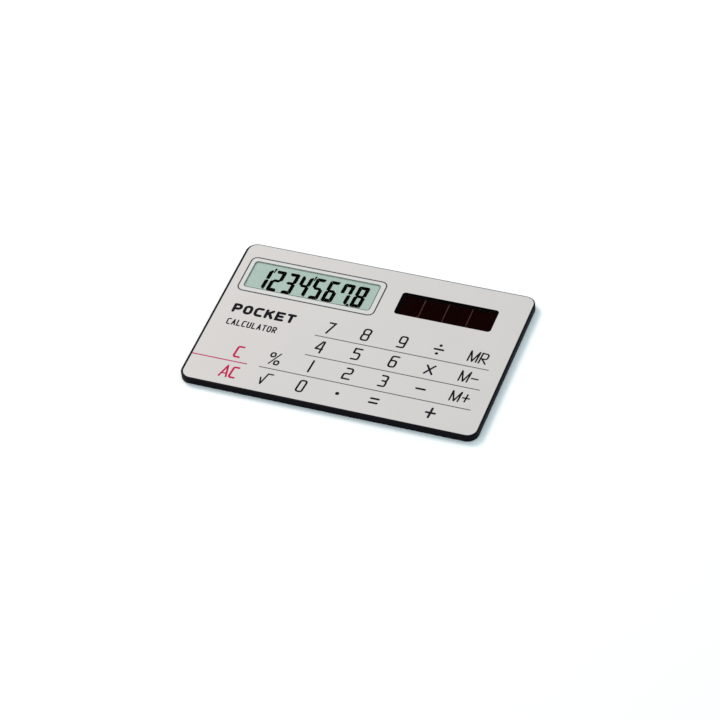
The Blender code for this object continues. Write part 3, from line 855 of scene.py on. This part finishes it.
def flex_piece(name, x, y, inner, outer, side):
    """One side of the film round a key, from its outer edge in to the pad's edge."""
    rows = 12
    bm = bmesh.new()
    levels = []
    for z in (FILM_BOTTOM, FILM_TOP):
        lines = []
        for row in range(rows + 1):
            share = row / rows
            a = outer[0] + (inner[0] - outer[0]) * share
            b = outer[1] + (inner[1] - outer[1]) * share
            ends = {
                "far": ((-a, b), (a, b)), "near": ((a, -b), (-a, -b)),
                "right": ((a, b), (a, -b)), "left": ((-a, -b), (-a, b)),
            }[side]
            lines.append([bm.verts.new((x + px, y + py, z)) for px, py in ends])
        levels.append(lines)
    below, above = levels
    for lines in levels:
        for first, second in zip(lines, lines[1:]):
            bm.faces.new((first[0], first[1], second[1], second[0]))
    for end in (0, 1):
        for row in range(rows):
            bm.faces.new((below[row][end], below[row + 1][end], above[row + 1][end], above[row][end]))
    for row in (0, rows):
        bm.faces.new((below[row][0], below[row][1], above[row][1], above[row][0]))
    made = place(name, bm, SILVER, None)
    dx, dy = {"far": (0, 1), "near": (0, -1), "right": (1, 0), "left": (-1, 0)}[side]
    end = ((x + dx * inner[0]) * MM, (y + dy * inner[1]) * MM, FILM_TOP * MM)
    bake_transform(made)


def make_keys():
    """Each key: its pad with the contact pill, the flexing film round it and its printed sign."""
    signs = legends()
    for name, (x, y, a, b, across, along) in key_places().items():
        body = f"key_{name}"
        bm = bmesh.new()
        edge_low = loop_at(bm, rectangle(x - a, x + a, y - b, y + b), FILM_BOTTOM)
        edge_top = loop_at(bm, rectangle(x - a, x + a, y - b, y + b), FILM_TOP)
        wall(bm, edge_low, edge_top)
        bm.faces.new(edge_top)
        pill_top = loop_at(bm, circle(PILL_RADIUS, x, y), FILM_BOTTOM)
        pill_side = loop_at(bm, circle(PILL_RADIUS, x, y), PILL_FOOT + PILL_BEVEL)
        pill_foot = loop_at(bm, circle(PILL_RADIUS - PILL_BEVEL, x, y), PILL_FOOT)
        wall(bm, pill_side, pill_top)
        wall(bm, pill_foot, pill_side)
        bm.faces.new(pill_foot)
        fill(bm, [edge_low, pill_top])
        pad = place(f"key_pad_{name}", bm, SILVER, body)
        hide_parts(body)
        for side in ("far", "near", "left", "right"):
            flex_piece(f"key_flex_{name}_{side}", x, y, (a, b), (across, along), side)
        colour = RED if name in ("clear", "all_clear") else INK
        ink(f"key_sign_{name}", signs[name], colour, body)


def widened(spec, margin):
    """The rectangle grown all round by this much."""
    width, depth, radius, cx, cy = spec
    return width + 2 * margin, depth + 2 * margin, radius + margin, cx, cy


def display_print():
    """The pale margin round the display, its dark outline, and the fine dark edge of the window."""
    left, right, top, near = 2.68, 43.1, 4.70, 17.95
    corners = ((left, top), (right, top), (right, near), (left, near))
    ink("display_outline", [stroke(corners, 0.38, 1.7, True)], OUTLINE_INK, "case")
    margin_thickness, edge_thickness, edge = 0.006, 0.01, 0.2
    centre = on_face((left + right) / 2, (top + near) / 2)
    bm = bmesh.new()
    spec = (right - left - 0.2, near - top - 0.2, 1.6, *centre)
    plate(bm, spec, [ring(widened(DISPLAY, edge))], FILM_TOP, FILM_TOP + margin_thickness)
    place("display_margin", bm, MARGIN, "case")
    bm = bmesh.new()
    plate(bm, widened(DISPLAY, edge + 0.01), [ring(DISPLAY)], FILM_TOP, FILM_TOP + edge_thickness)
    place("display_edge", bm, EDGE_INK, "case")


def rule(name, start, end, width, material):
    """A straight printed line with square ends."""
    ink(name, [stroke((start, end), width, round_ends=False)], material, "case")


def make_print():
    """What is printed on the film round the display and between the keys."""
    display_print()
    right = 80.6
    for name, left, y in (("1", 30.4, 29.04), ("2", 30.4, 36.64), ("3", 19.9, 44.19)):
        rule(f"row_rule_{name}", (left, y), (right, y), 0.3, RULE)
    rule("clear_rule", (0.18, 44.31), (16.4, 44.26), 0.38, RED_RULE)
    title = word(
        "POCKET", left=4.95, top=23.6, width=1.8, height=2.58, pitch=3.18, line_width=0.88, radius=0.8,
    )
    ink("title_print", title, INK, "case")
    subtitle = word(
        "CALCULATOR", left=4.98, top=29.24, width=0.84, height=1.96, pitch=1.5, line_width=0.39, radius=0.36,
    )
    ink("subtitle_print", subtitle, INK, "case")


SHADE_LINING_FOOT = 1.93  # the black lining of painted shade covers the film's opening from here up
SHADE_LINING_LIP = (FILM_TOP + 0.001, FILM_TOP + 0.008)  # the lip's underside and top
SHADE_LINING_STEPS = 12
CELL_FOOT, CELL_TOP = 1.902, 1.914
# The cells stop about 1 mm short of the opening's far and left edges and leave the near-black glass bare
# there: a painted shadow of those edges. They run past the near and right edges.
CELL_FAR, CELL_NEAR = 8.3, 15.6
CELL_LINES = (55.45, 62.3, 69.2)
CELL_EDGES = (49.6, *CELL_LINES, 76.6)
CELL_GAP, CELL_LINE_WIDTH = 0.12, 0.2


def make_shade_lining():
    """Painted shade at the solar window's edge: a black lining in the film's opening with a thin lip on the
    film.
    """
    width, depth, radius, cx, cy = SOLAR
    # The lip reaches furthest over the film on the far and left sides, as painted shadow of the opening's
    # edge.
    lip = ring((width + 0.17, depth + 0.16, radius + 0.08, cx - 0.015, cy + 0.05), 0.0, SHADE_LINING_STEPS)
    inside = ring(SOLAR, 0.03, SHADE_LINING_STEPS)
    outside = ring(SOLAR, 0.002, SHADE_LINING_STEPS)
    lip_foot, lip_top = SHADE_LINING_LIP
    section = (
        (outside, SHADE_LINING_FOOT), (outside, lip_foot), (lip, lip_foot),
        (lip, lip_top), (inside, lip_top), (inside, SHADE_LINING_FOOT),
    )
    bm = bmesh.new()
    loops = [loop_at(bm, outline, z) for outline, z in section]
    for first, second in zip(loops, loops[1:] + loops[:1]):
        wall(bm, first, second)
    place("solar_surround", bm, INK, "case")


def make_cells():
    """The four cells of the solar panel and the lines between them, set back from the opening's far and left
    edges so that painted shadow shows there.
    """
    def strip(bm, left, right):
        corners = [(left, CELL_NEAR), (right, CELL_NEAR), (right, CELL_FAR), (left, CELL_FAR)]
        seen_prism(bm, corners, CELL_FOOT, CELL_FOOT, CELL_TOP)

    cells = bmesh.new()
    for left, right in zip(CELL_EDGES, CELL_EDGES[1:]):
        strip(cells, left + CELL_GAP, right - CELL_GAP)
    place("solar_cells", cells, CELL, "case")
    lines = bmesh.new()
    for x in CELL_LINES:
        strip(lines, x - CELL_LINE_WIDTH / 2, x + CELL_LINE_WIDTH / 2)
    place("solar_cell_lines", lines, CELL_LINE, "case")


# ---------------------------------------------------------------- stage, light, camera

def make_floor():
    """A wide white floor just under the part."""
    size, corner, thickness, gap = 6000.0, 40.0, 10.0, 0.02
    bm = bmesh.new()
    plate(bm, (size, size, corner), [], -thickness, -gap, steps=2)
    floor = meshed("floor", bm, MM)
    floor.data.materials.append(
        finish_material("floor_white", (0.93, 0.93, 0.93), 0.9, 0.004, 40.0, 400.0, 0.0)
    )


def make_light():
    """An even cool surrounding and one warm soft light from the far left."""
    world = bpy.data.worlds.new("studio")
    world.use_nodes = True
    backdrop = world.node_tree.nodes["Background"]
    backdrop.inputs["Color"].default_value = (0.80, 0.95, 1.0, 1.0)
    backdrop.inputs["Strength"].default_value = 0.955
    bpy.context.scene.world = world
    data = bpy.data.lights.new("key_light", "AREA")
    data.shape = "DISK"
    data.size = 0.35
    data.energy = 4.2
    data.color = (1.0, 0.82, 0.74)
    lamp = linked("key_light", data)
    lamp.location = LIGHT_AT
    lamp.rotation_euler = (-LIGHT_AT).to_track_quat("-Z", "Y").to_euler()


def make_camera():
    """The photo's view, and a view transform that leaves colours as rendered."""
    data = bpy.data.cameras.new("camera")
    data.sensor_width = 36.0
    data.lens = LENS
    data.shift_x = -0.00056
    data.shift_y = 0.00076
    data.clip_start = 0.01
    data.clip_end = 20.0
    camera = linked("camera", data)
    axes = Matrix(CAMERA_AXES).transposed().to_4x4()
    camera.matrix_world = Matrix.Translation(CAMERA_AT) @ axes
    bpy.context.scene.camera = camera
    bpy.context.scene.view_settings.view_transform = "Standard"


dress_nodes()
make_frame()
make_rear()
make_film()
make_keys()
make_print()
make_digits()
make_shade_lining()
make_cells()
make_floor()
make_light()
make_camera()
